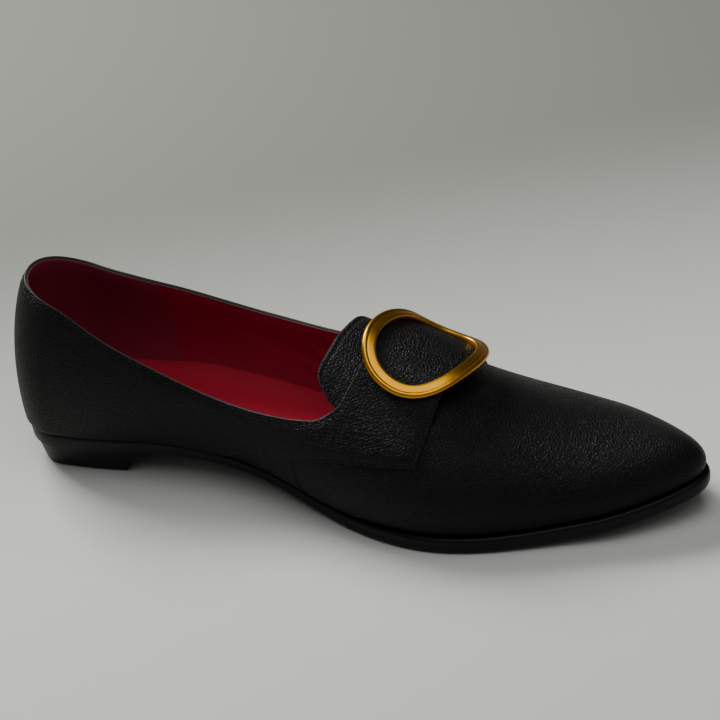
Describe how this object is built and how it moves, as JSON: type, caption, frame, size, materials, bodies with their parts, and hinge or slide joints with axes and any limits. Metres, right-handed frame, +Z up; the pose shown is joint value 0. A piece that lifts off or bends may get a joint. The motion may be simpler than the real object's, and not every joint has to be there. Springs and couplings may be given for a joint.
{
  "type": "buckle shoe",
  "caption": "Low-heeled closed shoe for the left foot in black leather, with latchet straps lapped over a tongue, a gilt ring buckle on the instep, a low heel and a red sock.",
  "frame": {"origin": "centre of the heel's tread, on the floor", "axes": "+X from heel to toe, +Y to the outer side of the foot, +Z up"},
  "size_m": [0.266, 0.0922, 0.0763],
  "materials": {
    "black_leather": "fine-grained, satin",
    "black_sole": "satin",
    "red_leather": "smooth, satin",
    "gilt": "polished"
  },
  "bodies": {
    "root": {"outsole": "black_sole", "heel": "black_sole", "upper": "black_leather", "quarter_medial": "black_leather", "quarter_lateral": "black_leather", "tongue": "black_leather", "insole": "red_leather", "buckle": "gilt"}
  },
  "joints": []
}
